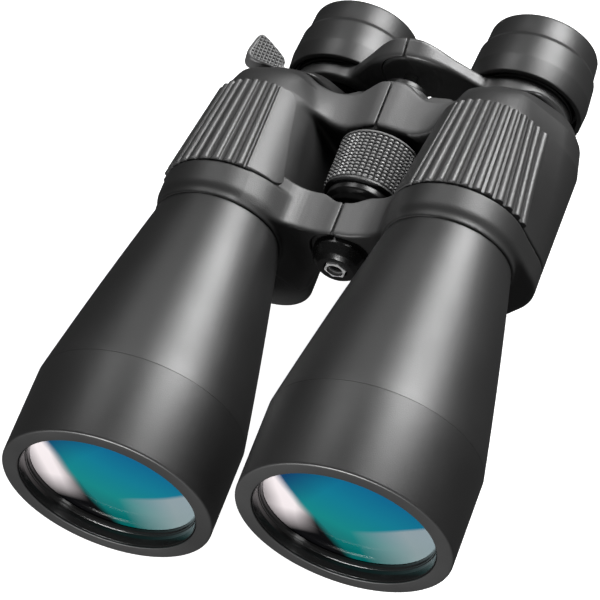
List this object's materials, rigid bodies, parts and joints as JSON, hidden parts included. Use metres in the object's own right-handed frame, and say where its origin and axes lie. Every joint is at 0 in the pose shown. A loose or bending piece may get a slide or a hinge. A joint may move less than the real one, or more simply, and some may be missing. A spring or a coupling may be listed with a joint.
{
  "type": "astronomy binoculars",
  "caption": "Large Porro-prism zoom binoculars: two long tapering barrels with broad front bells, ribbed prism housings, a central hinge with knurled focus wheel, and offset eyepieces.",
  "frame": {"origin": "on the central hinge axis, at the mouth of the tripod socket", "axes": "+Y along the hinge from the objectives to the eyepieces, +Z towards the focus-wheel side, +X towards the half that folds"},
  "size_m": [0.164, 0.2323, 0.0917],
  "materials": {
    "rubber_coat": "smooth satin rubber coating",
    "rubber_armour": "matte moulded rubber armour",
    "rubber_grip": "ribbed matte rubber",
    "knurled_rubber": "knurled hard rubber",
    "eyecup_rubber": "soft satin rubber",
    "painted_bridge": "satin black paint on die-cast metal",
    "moulded_black": "fine-grained moulded plastic",
    "gloss_black": "glossy moulded plastic",
    "anodised_black": "black anodised",
    "shelf_aluminium": "bare die-cast",
    "spring_steel": "ground steel",
    "black_steel": "blackened steel",
    "bright_insert": "turned, nickel plated",
    "coated_glass": "polished with a blue-green multicoating",
    "clear_glass": "polished optical glass"
  },
  "bodies": {
    "left_half": {"front_arm_left": "rubber_armour", "rear_arm_left": "rubber_armour", "front_bell_left": "rubber_coat", "objective_barrel_left": "rubber_coat", "objective_cell_left": "anodised_black", "retaining_ring_left": "anodised_black", "crown_lens_left": "coated_glass", "flint_lens_left": "clear_glass", "prism_housing_left": "rubber_armour", "grip_panel_left": "rubber_grip", "rear_cover_left": "moulded_black", "cover_screws_left": "black_steel", "prism_shelf_left": "shelf_aluminium", "rear_prism_left": "clear_glass", "front_prism_left": "clear_glass", "prism_clips_left": "spring_steel", "guide_tube_left": "anodised_black", "hinge_axle": "spring_steel", "hinge_nut": "black_steel", "tripod_cap": "gloss_black", "tripod_insert": "bright_insert"},
    "right_half": {"front_arm_right": "rubber_armour", "rear_arm_right": "rubber_armour", "front_bell_right": "rubber_coat", "objective_barrel_right": "rubber_coat", "objective_cell_right": "anodised_black", "retaining_ring_right": "anodised_black", "crown_lens_right": "coated_glass", "flint_lens_right": "clear_glass", "prism_housing_right": "rubber_armour", "grip_panel_right": "rubber_grip", "rear_cover_right": "moulded_black", "cover_screws_right": "black_steel", "prism_shelf_right": "shelf_aluminium", "rear_prism_right": "clear_glass", "front_prism_right": "clear_glass", "prism_clips_right": "spring_steel", "guide_tube_right": "anodised_black"},
    "focus_wheel": {"focus_hub": "gloss_black", "focus_grip_ring": "knurled_rubber"},
    "focus_carriage": {"focus_spindle": "spring_steel", "focus_drive_pin": "spring_steel", "bridge_screw": "black_steel", "eyepiece_bridge_left": "painted_bridge", "eyepiece_tube_left": "anodised_black", "field_lens_left": "clear_glass", "ocular_head_left": "moulded_black", "eye_lens_left": "coated_glass", "eyecup_left": "eyecup_rubber"},
    "right_eyepiece": {"eyepiece_bridge_right": "painted_bridge", "eyepiece_tube_right": "anodised_black", "field_lens_right": "clear_glass"},
    "left_zoom": {"zoom_ring_left": "moulded_black", "zoom_lever": "moulded_black"},
    "right_zoom": {"zoom_ring_right": "moulded_black"},
    "left_zoom_cell": {"zoom_cell_left": "anodised_black", "zoom_lens_left": "clear_glass"},
    "right_zoom_cell": {"zoom_cell_right": "anodised_black", "zoom_lens_right": "clear_glass"},
    "diopter_carrier": {"diopter_sleeve": "moulded_black"},
    "right_ocular": {"ocular_head_right": "moulded_black", "eye_lens_right": "coated_glass", "eyecup_right": "eyecup_rubber"}
  },
  "joints": [
    {"name": "interpupillary_hinge", "type": "hinge", "parent": "left_half", "child": "right_half", "pos_m": [0, 0, 0], "axis": [0, 1, 0], "range_deg": [-1, 34]},
    {"name": "focus_wheel_turn", "type": "hinge", "parent": "left_half", "child": "focus_wheel", "pos_m": [0, 0.041, 0], "axis": [0, 1, 0], "range_deg": [-201, 201]},
    {"name": "focus_slide", "type": "slide", "parent": "left_half", "child": "focus_carriage", "axis": [0, 1, 0], "range_m": [-0.0035, 0.0035]},
    {"name": "right_arm_hinge", "type": "hinge", "parent": "focus_carriage", "child": "right_eyepiece", "pos_m": [0, 0.0915, 0], "axis": [0, 1, 0], "range_deg": [-1, 34]},
    {"name": "zoom_lever_turn", "type": "hinge", "parent": "focus_carriage", "child": "left_zoom", "pos_m": [-0.0358, 0.0967, -0.0211], "axis": [0, -1, 0], "range_deg": [0, 70]},
    {"name": "right_zoom_turn", "type": "hinge", "parent": "right_eyepiece", "child": "right_zoom", "pos_m": [0.0358, 0.0967, -0.0211], "axis": [0, -1, 0], "range_deg": [0, 70]},
    {"name": "left_zoom_slide", "type": "slide", "parent": "focus_carriage", "child": "left_zoom_cell", "axis": [0, 1, 0], "range_m": [0, 0.006]},
    {"name": "right_zoom_slide", "type": "slide", "parent": "right_eyepiece", "child": "right_zoom_cell", "axis": [0, 1, 0], "range_m": [0, 0.006]},
    {"name": "diopter_slide", "type": "slide", "parent": "right_eyepiece", "child": "diopter_carrier", "axis": [0, 1, 0], "range_m": [0, 0.003]},
    {"name": "diopter_turn", "type": "hinge", "parent": "diopter_carrier", "child": "right_ocular", "pos_m": [0.0358, 0.105, -0.0211], "axis": [0, 1, 0], "range_deg": [0, 240]}
  ],
  "couplings": [
    {"joint": "focus_wheel_turn", "follows": "focus_slide", "rad_per_m": 1000},
    {"joint": "right_arm_hinge", "follows": "interpupillary_hinge", "ratio": 1},
    {"joint": "right_zoom_turn", "follows": "zoom_lever_turn", "ratio": 1},
    {"joint": "left_zoom_slide", "follows": "zoom_lever_turn", "m_per_rad": 0.0049},
    {"joint": "right_zoom_slide", "follows": "zoom_lever_turn", "m_per_rad": 0.0049},
    {"joint": "diopter_slide", "follows": "diopter_turn", "m_per_rad": 0.0007}
  ]
}
